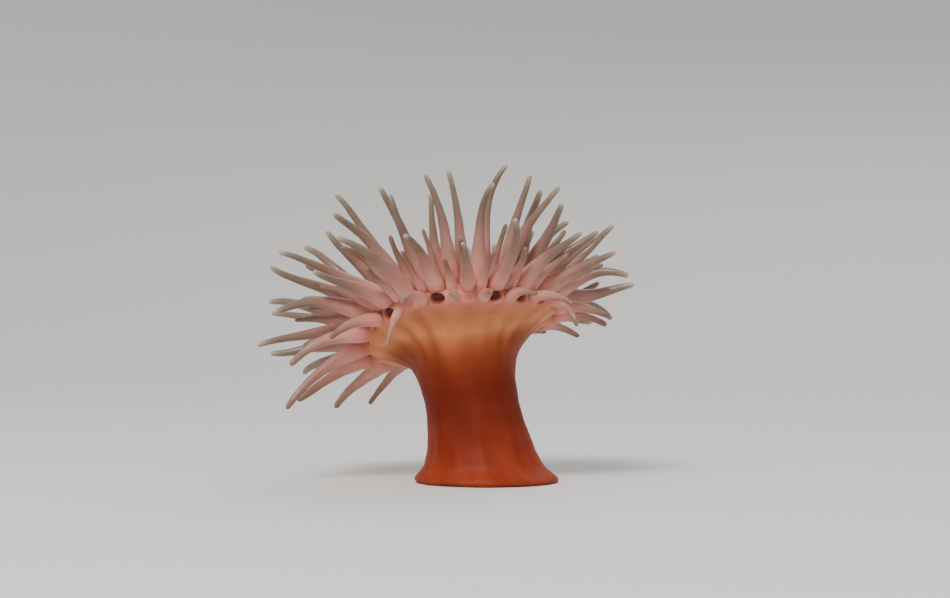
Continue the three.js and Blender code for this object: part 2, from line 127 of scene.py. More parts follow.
# A tentacle's wavy bend and the hook of its end, in degrees.
BEND = 17
HOOK = 28
HOOK_START = 0.62

STATIONS = (0, 0.05, 0.14, 0.3, 0.5, 0.7, 0.88, 0.97, 1)   # shares of a tentacle's length
SUBSTEPS = 4                        # steps from one station to the next
FLARE = 2                           # 1 is a straight cone, more is wider only near the root
FULLER_SIDES = 0.4                  # how much less than that at the disc's two sides
BULB = 2.4                          # over this length a root swells to its full width
ROOT_WAIST = 0.86                   # the root's width where it leaves the flesh
BLUNT = 0.58                        # the tip's last ring against the tip's width
TIP_POINT = 0.3                     # how far the tip goes past its last ring
CAGE_SWELL = 1.5                    # a square cage's half diagonal against its round skin's radius

# Tentacles that would touch lean away from each other, in a few rounds.
APART = 0.4
LEAN_ROUNDS = 14
LEAN_SHARE = 0.6                    # the share of what is lacking that one round makes up
FREE_STATION = 3                    # nearer to the root than this, tentacles may touch
FAR = 30                            # tentacles whose middles are this far apart can't touch

# Outline of the body from the middle of the sole to the bottom of the throat, as
# (height along the axis, radius).
FOOT = ((0, 7), (0, 12.4), (0, 13.9), (0.6, 14.7), (1.5, 14), (2.4, 13))
COLUMN = ((3.5, 12), (5, 11.4), (6.5, 10.9), (8.7, 10.4), (11, 9.95), (13.5, 9.55), (16, 9.4),
          (18, 9.42), (20, 9.6), (22, 9.95))
COLLAR = ((-7.4, 10.4), (-6.4, 10.8), (-5.3, 11.4), (-4.4, 12.2), (-2.8, 14.4), (-1.9, 16.6))
CROWN_LINES = ((-1.1, 18.4), (1, 18.9), (3, 17.3), (4.4, 15), (4.6, 12.6))
DISC = ((3.0, 10.5), (2.3, 9.2), (2.0, 8), (1.85, 6.6), (1.8, 5.4), (2.0, 4.5))
LIPS = ((2.45, 3.9), (2.6, 3.3), (2.35, 2.6), (1.3, 2.0), (0, 1.6), (-1.4, 1.4))


def smooth(low, high, value):
    """0 up to a low value, 1 from a high value on, and a smooth climb between them."""
    share = min(1, max(0, (value - low) / (high - low)))
    return share * share * (3 - 2 * share)


def raised(outline):
    """An outline whose heights are counted from the disc's edge, counted from the sole instead."""
    return tuple((AXIS_LENGTH + height, radius) for height, radius in outline)


OUTLINE = FOOT + COLUMN + raised(COLLAR + CROWN_LINES + DISC + LIPS)
FIRST_COLUMN_RING = len(FOOT)
FIRST_COLLAR_RING = FIRST_COLUMN_RING + len(COLUMN)
FIRST_CROWN_RING = FIRST_COLLAR_RING + len(COLLAR)
FIRST_DISC_RING = FIRST_CROWN_RING + len(CROWN_LINES)
FIRST_LIP_RING = FIRST_DISC_RING + len(DISC)
SOLE_RADIUS = FOOT[2][1]
MARGIN_HEIGHT = OUTLINE[FIRST_CROWN_RING][0]    # up to here the flesh is the column's or collar's
CROWN_TOP_RADIUS = CROWN_LINES[2][1]            # and so it is outside this radius


# ---------- the body's own space ----------
def axis_point(share):
    """The axis is one curve from the middle of the sole to the middle of the crown."""
    rest = 1 - share
    return (AXIS_BENDS[0] * (3 * rest * rest * share)
            + AXIS_BENDS[1] * (3 * rest * share * share)
            + CROWN_CENTRE * share ** 3)


def slice_at(height):
    """The axis at a height: its point and the directions right, back and up of the slice there."""
    up = UP.lerp(CROWN_NORMAL, smooth(*LEAN_HEIGHTS, height)).normalized()
    right = (Vector((1, 0, 0)) - up * up.x).normalized()
    back = up.cross(right)
    middle = axis_point(min(1, height / AXIS_LENGTH)) + up * max(0, height - AXIS_LENGTH)
    return middle, right, back, up


def towards(angle, way):
    """1 where an angle points a given way, in degrees, and 0 where it points the other way."""
    return 0.5 + 0.5 * math.cos(angle - math.radians(way))


def lobes(angle):
    """The disc's edge is gently lobed."""
    return sum(depth * math.cos(count * angle + turn) for count, depth, turn in LOBES)


def body_point(angle, height, radius):
    """A point of the upright round body, bent onto the real axis."""
    middle, right, back, up = slice_at(height)
    edge = smooth(*LOBE_HEIGHTS, height) * smooth(*LOBE_RADII, radius)
    inside = smooth(*SLIT_HEIGHTS, height) * (1 - smooth(*SLIT_RADII, radius))
    reach = radius * (1 + edge * lobes(angle) + MOUTH_SLIT * math.cos(2 * angle) * inside)
    wave = EDGE_WAVE["height"] * math.cos(EDGE_WAVE["count"] * angle + EDGE_WAVE["turn"])
    rise = EDGE_RISE["height"] * towards(angle, EDGE_RISE["at"]) ** EDGE_RISE["power"]
    return (middle + right * (reach * math.cos(angle)) + back * (reach * math.sin(angle))
            + up * (edge * (wave + rise)))


# ---------- tentacles ----------
# What a value is spread for, each with its own number.
FOR_ROOT_LIFT = 1
FOR_TIP_LIFT = 2
FOR_ROOT_SWING = 3
FOR_TIP_SWING = 4
FOR_BENDS = (5, 6)
FOR_LENGTH = 7
FOR_HOOKS = (8, 9)
FOR_WIDTH = 10
FOR_HOLLOW = 11
FOR_WEB = 12
FOR_CORNER = 13
PLACE_STEP = 0.6180339887           # steps that never fall into a pattern
PURPOSE_STEP = 0.7548776662


def spread(place, purpose):
    """An even spread of values from -1 to 1, one for each place and purpose."""
    return 2 * ((place * PLACE_STEP + purpose * PURPOSE_STEP) % 1) - 1


def tentacle_pose(row_index, place):
    """Where a tentacle stands, its size, and how it rises and swings, in degrees."""
    row = ROWS[row_index]
    number = place + PER_ROW * row_index
    angle = 2 * math.pi * (2 * place + row["odd"] + 0.5) / SEGMENTS
    low, high = CROWN_LINES[row["line"]], CROWN_LINES[row["line"] + 1]
    height = AXIS_LENGTH + (low[0] + high[0]) / 2
    _, right, back, up = slice_at(height)
    out = right * math.cos(angle) + back * math.sin(angle)

    root_vary, tip_vary = row["vary"]
    sag = SAG * math.cos(angle) ** 2 * (1 - SAG_MORE_LEFT * math.cos(angle))
    lift = [row["lift"][0] + root_vary * spread(number, FOR_ROOT_LIFT) - SAG_AT_ROOT * sag,
            row["lift"][1] + tip_vary * spread(number, FOR_TIP_LIFT) - SAG_AT_TIP * sag]
    swing = [SWING_AT_ROOT * root_vary * spread(number, FOR_ROOT_SWING),
             tip_vary * spread(number, FOR_TIP_SWING)]
    length = row["length"] * (1 + LENGTH_VARIES * spread(number, FOR_LENGTH))
    length *= 1 - SHORTER_RIGHT * math.cos(angle)
    width = 1 + WIDTH_VARIES * spread(number, FOR_WIDTH) + WIDER_SIDES * abs(math.cos(angle))
    if row["name"] == "margin":
        front = max(0, -math.sin(angle)) ** 2
        lift[0] -= FRONT_DROP[0] * front
        lift[1] -= FRONT_DROP[1] * front
        growth = sum(side["share"] * towards(angle, side["at"]) ** side["power"]
                     for side in MARGIN_GROWS)
        length *= 1 + MARGIN_LONGER * growth
        width *= 1 + MARGIN_WIDER * growth
    if row["name"] == "young":
        length *= 1 + YOUNG_LONGER * abs(math.cos(angle))
    change = ODD_ONES.get((row_index, place), NO_CHANGE)
    root_lift, tip_lift, tip_swing, longer, wider = change
    lift[0] += root_lift
    lift[1] += tip_lift
    swing[1] += tip_swing
    length *= longer
    width *= wider
    return {
        "root": body_point(angle, height, (low[1] + high[1]) / 2),
        "out": out, "along": up.cross(out), "up": up,
        "lift": lift, "swing": swing, "length": length,
        "bend": [row["curl"] * BEND * spread(number, purpose) for purpose in FOR_BENDS],
        "hook": [row["curl"] * HOOK * spread(number, purpose) for purpose in FOR_HOOKS],
        "flare": FLARE - FULLER_SIDES * abs(math.cos(angle)),
        "wide": row["root"] * width, "narrow": row["tip"] * width,
    }


def direction(pose, share):
    """The way a tentacle points at a share of its length."""
    wave = math.sin(2 * math.pi * share) * share
    end = smooth(HOOK_START, 1, share)
    rise, turn = (
        math.radians(first + (last - first) * share + bend * wave + hook * end)
        for (first, last), bend, hook in zip((pose["lift"], pose["swing"]), pose["bend"], pose["hook"]))
    return (pose["out"] * (math.cos(rise) * math.cos(turn))
            + pose["along"] * (math.cos(rise) * math.sin(turn))
            + pose["up"] * math.sin(rise))


def follow(pose):
    """A tentacle's centre, directions and radius at each station."""
    length, narrow = pose["length"], pose["narrow"]
    centre = pose["root"].copy()
    run = []
    before = 0
    for share in STATIONS:
        step = (share - before) / SUBSTEPS
        for sub in range(SUBSTEPS):
            centre = centre + direction(pose, before + (sub + 0.5) * step) * (step * length)
        before = share
        bulb = ROOT_WAIST + (1 - ROOT_WAIST) * min(1, share * length / BULB)
        radius = (narrow + (pose["wide"] - narrow) * (1 - share) ** pose["flare"]) * bulb
        ahead = direction(pose, share)
        side = (pose["along"] - ahead * ahead.dot(pose["along"])).normalized()
        run.append({"centre": centre, "ahead": ahead, "side": side, "over": ahead.cross(side),
                    "radius": radius})
    return run


def lean_away(pose, station, share, step):
    """Turns a tentacle's end so that its centre at a station moves by a small step."""
    reach = pose["length"] * share * share / 2
    pose["lift"][1] += math.degrees(step.dot(station["over"]) / reach)
    pose["swing"][1] += math.degrees(step.dot(station["side"]) / reach)


def push_apart(pose_a, run_a, pose_b, run_b):
    """Moves two tentacles apart where they come closest, if they are too close there."""
    worst = 0
    for i in range(FREE_STATION, len(STATIONS)):
        for k in range(FREE_STATION, len(STATIONS)):
            apart = (run_a[i]["centre"] - run_b[k]["centre"]).length
            lack = run_a[i]["radius"] + run_b[k]["radius"] + APART - apart
            if lack > worst:
                worst, near_a, near_b, distance = lack, i, k, apart
    if worst > 0:
        step = run_a[near_a]["centre"] - run_b[near_b]["centre"]
        step *= LEAN_SHARE * worst / distance / 2
        lean_away(pose_a, run_a[near_a], STATIONS[near_a], step)
        lean_away(pose_b, run_b[near_b], STATIONS[near_b], -step)


def lay_tentacles():
    """Every tentacle's run, after the crowded ones have leant away from each other."""
    poses = [tentacle_pose(row, place) for row in range(len(ROWS)) for place in range(PER_ROW)]
    middle = len(STATIONS) // 2
    for _ in range(LEAN_ROUNDS):
        runs = [follow(pose) for pose in poses]
        for a, run_a in enumerate(runs):
            for b in range(a + 1, len(runs)):
                if (run_a[middle]["centre"] - runs[b][middle]["centre"]).length < FAR:
                    push_apart(poses[a], run_a, poses[b], runs[b])
    return [follow(pose) for pose in poses]


# ---------- the skin's cage ----------
def start_body():
    """The body standing upright and round: a disc drawn up ring by ring along its outline."""
    bpy.ops.object.select_all(action="DESELECT")
    height, radius = OUTLINE[0]
    bpy.ops.mesh.primitive_circle_add(vertices=SEGMENTS, radius=radius * MM, fill_type="NGON",
                                      location=(0, 0, height * MM))
    skin = bpy.context.object
    skin.name = "anemone_skin"
    bpy.ops.object.mode_set(mode="EDIT")
    bpy.ops.mesh.select_mode(type="FACE")
    bpy.ops.mesh.select_all(action="SELECT")
    for (low, narrow), (high, wide) in zip(OUTLINE, OUTLINE[1:]):
        bpy.ops.mesh.extrude_region_move(
            TRANSFORM_OT_translate={"value": (0, 0, (high - low) * MM)})
        growth = wide / narrow
        bpy.ops.transform.resize(value=(growth, growth, 1), center_override=(0, 0, high * MM))
    return skin


def outline_lengths():
    """How far along the outline each ring lies, counted from the middle of the sole."""
    lengths = [0]
    for (low, narrow), (high, wide) in zip(OUTLINE, OUTLINE[1:]):
        lengths.append(lengths[-1] + math.hypot(high - low, wide - narrow))
    return lengths


LENGTHS = outline_lengths()
OUTLINE_LENGTH = LENGTHS[-1]
SHARES = [length / OUTLINE_LENGTH for length in LENGTHS]


def bend_body(skin):
    """Bends the upright body onto its axis, and keeps each point's upright place for the finish."""
    sheet = bmesh.from_edit_mesh(skin.data)
    upright = sheet.verts.layers.float_vector.new("upright")
    meridian = sheet.verts.layers.float.new("meridian")
    ring_of = sheet.verts.layers.int.new("ring")
    for vertex in sheet.verts:
        place = vertex.co / MM
        radius = math.hypot(place.x, place.y)
        gaps = [math.hypot(place.z - high, radius - wide) for high, wide in OUTLINE]
        vertex[ring_of] = gaps.index(min(gaps))
        vertex[meridian] = SHARES[vertex[ring_of]]
        vertex[upright] = place
        vertex.co = body_point(math.atan2(place.y, place.x), place.z, radius) * MM
    bmesh.update_edit_mesh(skin.data)


def mark_crown(skin):
    """Numbers the crown faces that tentacles grow from, and the flesh between the tentacles."""
    sheet = bmesh.from_edit_mesh(skin.data)
    upright = sheet.verts.layers.float_vector["upright"]
    ring_of = sheet.verts.layers.int["ring"]
    number_of = sheet.faces.layers.int.new("tentacle")
    hollow_of = sheet.faces.layers.int.new("hollow_face")
    web_of = sheet.faces.layers.int.new("web_face")
    row_at = {(row["line"], row["odd"]): index for index, row in enumerate(ROWS)}
    for face in sheet.faces:
        line = min(vertex[ring_of] for vertex in face.verts) - FIRST_CROWN_RING
        if len(face.verts) != 4 or not 0 <= line < len(CROWN_LINES) - 1:
            continue
        middle = sum((vertex[upright] for vertex in face.verts), Vector()) / 4
        segment = int(math.atan2(middle.y, middle.x) / (2 * math.pi) * SEGMENTS % SEGMENTS)
        row_index = row_at.get((line, segment % 2))
        if row_index is not None:
            face[number_of] = 1 + row_index * PER_ROW + segment // 2
        elif line == 0:
            face[hollow_of] = 1 + segment // 2
        else:
            face[web_of] = line * PER_ROW + segment // 2
    bmesh.update_edit_mesh(skin.data)


def select_marked(skin, layer):
    """Selects the faces that a layer marks, and nothing else."""
    sheet = bmesh.from_edit_mesh(skin.data)
    mark = sheet.faces.layers.int[layer]
    for face in sheet.faces:
        face.select_set(False)
    for face in sheet.faces:
        if face[mark]:
            face.select_set(True)
    bmesh.update_edit_mesh(skin.data)


# Between the margin's tentacles the flesh sinks into hollows, with painted shade at their bottoms.
# Those in front have a strength each, for depth and painted shade.
HOLLOWS = {12: 1, 13: 0.1, 14: 1, 15: 0.15, 16: 1, 17: 0.9, 18: 0.6}
HOLLOW_STRENGTH = 0.45              # of the others, and how much it varies
HOLLOW_VARIES = 0.3
HOLLOW_WIDENS = 0.34
HOLLOW_UNEVEN = 0.6
HOLLOW_LIP = 0.34                   # the lip's width, then that of the slope inside it
HOLLOW_EDGE = 0.3
HOLLOW_DEPTH = 2.0
LIP_HEIGHT = 1.3
# Between the innermost tentacles it rises into low webs.
WEB_EDGE = 0.3
WEB_HEIGHT = 2.2
WEB_VARIES = 0.3


def inset_marked(skin, layer, edge):
    """Insets every face that a layer marks, and returns the inner faces and their mesh."""
    select_marked(skin, layer)
    bpy.ops.mesh.inset(thickness=edge * MM, depth=0, use_individual=True)
    sheet = bmesh.from_edit_mesh(skin.data)
    mark = sheet.faces.layers.int[layer]
    for face in sheet.faces:
        if not face.select:
            face[mark] = 0
    return sheet, [face for face in sheet.faces if face.select]


def hollow_strength(face, hollow_of):
    """How deep a hollow is and how dark its painted shade, from 0 to 1."""
    place = face[hollow_of] - 1
    return HOLLOWS.get(place, HOLLOW_STRENGTH + HOLLOW_VARIES * spread(place, FOR_HOLLOW))


def sink_hollows(skin):
    """Between the margin's tentacles the flesh sinks into hollows below a raised lip, with painted
    shade at their bottoms.
    """
    sheet = bmesh.from_edit_mesh(skin.data)
    sheet.verts.layers.float.new("hollow")
    hollow_of = sheet.faces.layers.int["hollow_face"]
    for face in sheet.faces:
        if not face[hollow_of]:
            continue
        middle = face.calc_center_median()
        growth = HOLLOW_WIDENS * hollow_strength(face, hollow_of)
        for corner, vertex in enumerate(face.verts):
            uneven = 1 + HOLLOW_UNEVEN * spread(4 * face[hollow_of] + corner, FOR_CORNER)
            vertex.co += (vertex.co - middle) * (growth * uneven)
    bmesh.update_edit_mesh(skin.data)

    sheet, faces = inset_marked(skin, "hollow_face", HOLLOW_LIP)
    hollow_of = sheet.faces.layers.int["hollow_face"]
    hollow = sheet.verts.layers.float["hollow"]
    ring_of = sheet.verts.layers.int["ring"]
    for face in faces:
        strength = hollow_strength(face, hollow_of)
        outwards = face.normal * (LIP_HEIGHT * strength * MM)
        upper = max(vertex[ring_of] for vertex in face.verts)
        for vertex in face.verts:
            if vertex[ring_of] == upper:
                vertex.co += outwards
                vertex[hollow] = -strength
    bmesh.update_edit_mesh(skin.data)

    sheet, faces = inset_marked(skin, "hollow_face", HOLLOW_EDGE)
    hollow_of = sheet.faces.layers.int["hollow_face"]
    hollow = sheet.verts.layers.float["hollow"]
    for face in faces:
        strength = hollow_strength(face, hollow_of)
        inwards = face.normal * (-HOLLOW_DEPTH * strength * MM)
        for vertex in face.verts:
            vertex.co += inwards
            # the bottom's points carry the strength of the hollow's painted shade
            vertex[hollow] = strength
    bmesh.update_edit_mesh(skin.data)


def raise_webs(skin):
    """Between the innermost roots the flesh stands up in low webs."""
    sheet, faces = inset_marked(skin, "web_face", WEB_EDGE)
    web_of = sheet.faces.layers.int["web_face"]
    for face in faces:
        varies = 1 + WEB_VARIES * spread(face[web_of], FOR_WEB)
        outwards = face.normal * (WEB_HEIGHT * varies * MM)
        for vertex in face.verts:
            vertex.co += outwards
    bmesh.update_edit_mesh(skin.data)


def corner_signs(point, station):
    """On which side of a tentacle's ring a point lies: +1 or -1 sideways, +1 or -1 over."""
    offset = point / MM - station["centre"]
    return (math.copysign(1, offset.dot(station["side"])),
            math.copysign(1, offset.dot(station["over"])))


def grow_tentacles(skin, runs):
    """Draws every root face out along its tentacle's run, one ring at a time."""
    sheet = bmesh.from_edit_mesh(skin.data)
    sheet.verts.layers.float.new("along")
    sheet.verts.layers.int.new("station")
    bmesh.update_edit_mesh(skin.data)
    select_marked(skin, "tentacle")
    last = len(STATIONS) - 1
    for index in range(1, len(STATIONS)):
        bpy.ops.mesh.extrude_faces_move(TRANSFORM_OT_shrink_fatten={"value": 0})
        sheet = bmesh.from_edit_mesh(skin.data)
        number_of = sheet.faces.layers.int["tentacle"]
        along = sheet.verts.layers.float["along"]
        station_of = sheet.verts.layers.int["station"]
        for face in sheet.faces:
            if not face.select:
                continue
            run = runs[face[number_of] - 1]
            pink = ROWS[(face[number_of] - 1) // PER_ROW]["pink"]
            before, here = run[index - 1], run[index]
            centre, radius = here["centre"], here["radius"]
            if index == last:
                centre = centre + here["ahead"] * (TIP_POINT * radius)
                radius = radius * BLUNT
            reach = radius * CAGE_SWELL * math.sqrt(0.5)
            for vertex in face.verts:
                sideways, over = corner_signs(vertex.co, before)
                vertex.co = (centre + here["side"] * (sideways * reach)
                             + here["over"] * (over * reach)) * MM
                vertex[along] = STATIONS[index] * pink
                vertex[station_of] = index
        bmesh.update_edit_mesh(skin.data)


# ---------- the map ----------
BODY_CHART = 0.6                    # the share of the map's width that the body takes
END_POINTS = (0.25, 0.75)           # how high beside it the ends of sole and throat lie
CHART_GAP = 0.006
STRIP_COLUMNS = 8                   # the tentacles' strips stand in this many columns
STRIP_WIDTH = 0.92                  # shares of a strip's room that it fills
STRIP_HEIGHT = 0.93
TIP_HEIGHT = 0.96                   # where the tip's small patch lies, and half its size
TIP_HALF_WIDTH = 0.1
TIP_HALF_HEIGHT = 0.015


def lay_out_map(skin, runs):
    """One chart for the body and a strip for each tentacle."""
    sheet = bmesh.from_edit_mesh(skin.data)
    upright = sheet.verts.layers.float_vector["upright"]
    meridian = sheet.verts.layers.float["meridian"]
    number_of = sheet.faces.layers.int["tentacle"]
    station_of = sheet.verts.layers.int["station"]
    chart = sheet.loops.layers.uv.new("OFBake")
    for face in sheet.faces:
        if face[number_of]:
            lay_tentacle_face(face, chart, station_of, face[number_of], runs[face[number_of] - 1])
        else:
            lay_body_face(face, chart, upright, meridian)
    bmesh.update_edit_mesh(skin.data)


def lay_body_face(face, chart, upright, meridian):
    """Across the chart by the turn round the body, up it by the place along the outline."""
    if len(face.verts) > 4:
        end = END_POINTS[round(face.verts[0][meridian])]
        for loop in face.loops:
            loop[chart].uv = (BODY_CHART + 0.5 * CHART_GAP, end)
        return
    turns = [math.atan2(loop.vert[upright].y, loop.vert[upright].x) / (2 * math.pi) % 1
             for loop in face.loops]
    wraps = max(turns) - min(turns) > 0.5
    for loop, turn in zip(face.loops, turns):
        around = turn + 1 if wraps and turn < 0.5 else turn
        loop[chart].uv = ((BODY_CHART - CHART_GAP) * around, loop.vert[meridian])


def lay_tentacle_face(face, chart, station_of, number, run):
    """Across the strip by the quarter of the ring, up it by the share of the length."""
    strips = len(ROWS) * PER_ROW
    column, row = (number - 1) % STRIP_COLUMNS, (number - 1) // STRIP_COLUMNS
    width = (1 - BODY_CHART - CHART_GAP) / STRIP_COLUMNS
    height = STRIP_COLUMNS / strips
    corner = Vector((BODY_CHART + CHART_GAP + column * width, row * height))
    quarters = []
    for loop in face.loops:
        station = run[loop.vert[station_of]]
        sideways, over = corner_signs(loop.vert.co, station)
        quarters.append({(1, 1): 0, (-1, 1): 1, (-1, -1): 2, (1, -1): 3}[(sideways, over)])
    last = len(STATIONS) - 1
    is_tip = all(loop.vert[station_of] == last for loop in face.loops)
    for loop, quarter in zip(face.loops, quarters):
        if is_tip:
            across = 0.5 + TIP_HALF_WIDTH * (1 if quarter in (0, 3) else -1)
            up = TIP_HEIGHT + TIP_HALF_HEIGHT * (1 if quarter in (0, 1) else -1)
        else:
            across = 1 if quarter == 0 and 3 in quarters else quarter / 4
            up = STRIP_HEIGHT * STATIONS[loop.vert[station_of]]
        loop[chart].uv = corner + Vector((across * width * STRIP_WIDTH, up * height))


ROUNDING_LEVELS = 2


def round_off(skin):
    """Finishes the cage as a smooth skin."""
    bpy.ops.mesh.select_all(action="SELECT")
    bpy.ops.mesh.normals_make_consistent(inside=False)
    bpy.ops.object.mode_set(mode="OBJECT")
    rounding = skin.modifiers.new("rounding", "SUBSURF")
    rounding.levels = ROUNDING_LEVELS
    rounding.render_levels = ROUNDING_LEVELS
    bpy.ops.object.modifier_apply(modifier=rounding.name)
    bpy.ops.object.shade_smooth()


# ---------- relief ----------
GAP_TURN = math.pi / SEGMENTS       # where the first hollow of the margin lies
SOLE_TOP = 0.05                     # below this height the sole stays flat

# Uneven noise over the body: how deep it is, and how fine round and along the body.
RIBS = {"depth": 0.4, "round": 4.2, "along": 0.05}
SWELLS = {"depth": 0.12, "round": 1.6, "along": 0.5}
COLLAR_SWELLS = {"depth": 0.35, "round": 2.6, "along": 0.16}
GROOVES_VARY = {"depth": 0.5, "round": 2.2, "along": 0.2}
TONE_VARIES = {"depth": 0.8, "round": 2.4, "along": 0.2}
# Between which heights each starts or fades out.
RIBS_FADE = (3, 19)
SWELLS_START = (2, 4)
SWELLS_FADE = (20, 24)
COLLAR_SWELLS_START = (21, 25)
# Folds of the collar, with a groove below each hollow.
GROOVE_DEPTH = 0.42
GROOVE_POWER = 1.5                  # above 1, a groove is narrower than the fold beside it
GROOVE_MEAN = 0.6
FOLDS_START = (23.5, 28.5)
FOLDS_FADE = (30, 31.5)
FLATTER_SIDES = 0.6                 # how much flatter the grooves are at the two sides
SIDES = (0.7, 1)                    # the cosines of the turn between which the sides begin
# Furrows of the disc and ribs of the lips, and between which radii each starts or fades out.
FURROW_DEPTH = 0.13
FURROWS_START = (4.2, 6)
FURROWS_FADE = (10.5, 12)
LIP_RIB_DEPTH = 0.16
LIP_RIBS_START = (1.6, 2.4)
LIP_RIBS_FADE = (3.6, 4.6)
# Swells and creases of the tentacles: how deep and how fine.
FINGER_SWELLS = {"depth": 0.16, "fineness": 0.42}
FINGER_CREASES = {"depth": 0.04, "fineness": 1.4}
SWELLS_AT_ROOT = 1.1                # the swells' share at the root; they fade towards the tip
FINGER_START = 0.02                 # from this share of its length on, flesh is a tentacle's


def body_noise(turn, height, kind):
    """Noise over the upright body that closes on itself all round."""
    return kind["depth"] * noise.noise(Vector((kind["round"] * math.cos(turn),
                                               kind["round"] * math.sin(turn),
                                               kind["along"] * height)))


def column_relief(turn, height):
    """Uneven upright ribs near the foot, soft level swells above them."""
    ribs = body_noise(turn, height, RIBS) * (1 - smooth(*RIBS_FADE, height))
    swells = body_noise(turn, height, SWELLS) * smooth(*SWELLS_START, height)
    return ribs + swells * (1 - smooth(*SWELLS_FADE, height))


def collar_groove(turn):
    """1 in the middle of a groove below a hollow of the margin, 0 on the fold between two."""
    return (0.5 + 0.5 * math.cos(PER_ROW * (turn - GAP_TURN))) ** GROOVE_POWER


def groove_strength(turn, height):
    return GROOVE_MEAN + body_noise(turn, height, GROOVES_VARY)


def collar_relief(turn, height):
    """Soft folds that run up to the margin."""
    groove = collar_groove(turn) * groove_strength(turn, height)
    zone = smooth(*FOLDS_START, height) * (1 - smooth(*FOLDS_FADE, height))
    swell = body_noise(turn, height, COLLAR_SWELLS) * smooth(*COLLAR_SWELLS_START, height)
    flatter = 1 - FLATTER_SIDES * smooth(*SIDES, abs(math.cos(turn)))
    return (swell - GROOVE_DEPTH * groove * flatter) * zone


def disc_relief(turn, radius):
    """Radial furrows over the disc, and ribs over the lips."""
    furrows = FURROW_DEPTH * math.cos(PER_ROW * (turn - GAP_TURN)) * smooth(*FURROWS_START, radius)
    ribs = LIP_RIB_DEPTH * math.cos(PER_ROW * turn) * (1 - smooth(*LIP_RIBS_FADE, radius))
    ribs *= smooth(*LIP_RIBS_START, radius)
    return furrows * (1 - smooth(*FURROWS_FADE, radius)) + ribs


def finger_noise(place, kind):
    return kind["depth"] * noise.noise(place * kind["fineness"])


def tentacle_relief(place, share):
    """Slight swells, and fine creases."""
    swell = finger_noise(place, FINGER_SWELLS) * (SWELLS_AT_ROOT - share)
    return swell + finger_noise(place, FINGER_CREASES)


def relief_at(place, upright, share):
    """How far the skin stands out from its smooth form, in millimetres."""
    height = upright.z
    radius = math.hypot(upright.x, upright.y)
    turn = math.atan2(upright.y, upright.x)
    if share > FINGER_START:
        return tentacle_relief(place, share)
    if height < SOLE_TOP and radius < SOLE_RADIUS:
        return 0
    if height < MARGIN_HEIGHT or radius > CROWN_TOP_RADIUS:
        return column_relief(turn, height) + collar_relief(turn, height)
    return disc_relief(turn, radius)


# The column's dark colour climbs at the collar's two sides, and farther on their undersides, partly as
# the flesh's own rust and partly as painted shade where the collar turns away from the light: how far,
# in millimetres, and between which heights it starts.
SIDE_SHADE_CLIMB = 2
SIDE_SHADE_CLIMB_START = (16, 21)
UNDER_SHADE_CLIMB = 3.2
UNDER_SHADE_SIDES = (0.75, 1)
UNDER_SHADE_CLIMB_START = (22, 27)
TONE_VARIES_START = (14, 20)
TONE_ENDS = (29, 31.5)
# The grooves of the collar's folds get painted shade, less so in front.
FOLD_SHADE_IN_FRONT = 0.35
FOLD_SHADE_SIDES = (0.2, 0.6)
FOLD_SHADE_START = (20, 25)
FOLD_SHADE_FADE = (30, 31)


def shade_and_tone_shift(upright):
    """How far up the outline a point of the collar takes its colour from below, in millimetres: partly
    painted shade at the collar's sides and undersides, and a tone that differs at random.
    """
    turn = math.atan2(upright.y, upright.x)
    height = upright.z
    shade_climb = SIDE_SHADE_CLIMB * math.cos(turn) ** 2 * smooth(*SIDE_SHADE_CLIMB_START, height)
    under = smooth(*UNDER_SHADE_SIDES, abs(math.cos(turn)))
    shade_climb += UNDER_SHADE_CLIMB * under * smooth(*UNDER_SHADE_CLIMB_START, height)
    varies = body_noise(turn, height, TONE_VARIES) * smooth(*TONE_VARIES_START, height)
    return (shade_climb + varies) * (1 - smooth(*TONE_ENDS, height))


def fold_painted_shade(upright):
    """How far painted shade in the grooves of the collar's folds darkens a point, from 0 to about 1."""
    turn = math.atan2(upright.y, upright.x)
    height = upright.z
    groove = collar_groove(turn) * groove_strength(turn, height)
    sides = smooth(*FOLD_SHADE_SIDES, abs(math.cos(turn)))
    share = FOLD_SHADE_IN_FRONT + (1 - FOLD_SHADE_IN_FRONT) * sides
    return groove * share * smooth(*FOLD_SHADE_START, height) * (1 - smooth(*FOLD_SHADE_FADE, height))


def add_tone(skin):
    """The place along the outline that each point takes its colour from, with painted shade at the
    collar's sides, and the painted shade in the folds' grooves.
    """
    attributes = skin.data.attributes
    upright = [layer.vector for layer in attributes["upright"].data]
    fold_shade = attributes.new("fold_shade", "FLOAT", "POINT")
    fold_shade.data.foreach_set("value", [fold_painted_shade(place) for place in upright])
    meridian = [layer.value for layer in attributes["meridian"].data]
    tone = attributes.new("tone", "FLOAT", "POINT")
    tone.data.foreach_set("value", [share - shade_and_tone_shift(place) / OUTLINE_LENGTH
                                    for share, place in zip(meridian, upright)])


def add_relief(skin):
    """Moves every point of the skin out or in along its normal, and none below the floor."""
    vertices = skin.data.vertices
    upright = skin.data.attributes["upright"].data
    along = skin.data.attributes["along"].data
    places = [vertex.co.copy() for vertex in vertices]
    normals = [vertex.normal.copy() for vertex in vertices]
    moved = []
    for place, normal, layer, share in zip(places, normals, upright, along):
        depth = relief_at(place / MM, layer.vector, share.value) * MM
        to = place + normal * depth
        moved.extend((to.x, to.y, max(0, to.z)))
    vertices.foreach_set("co", moved)
    skin.data.update()
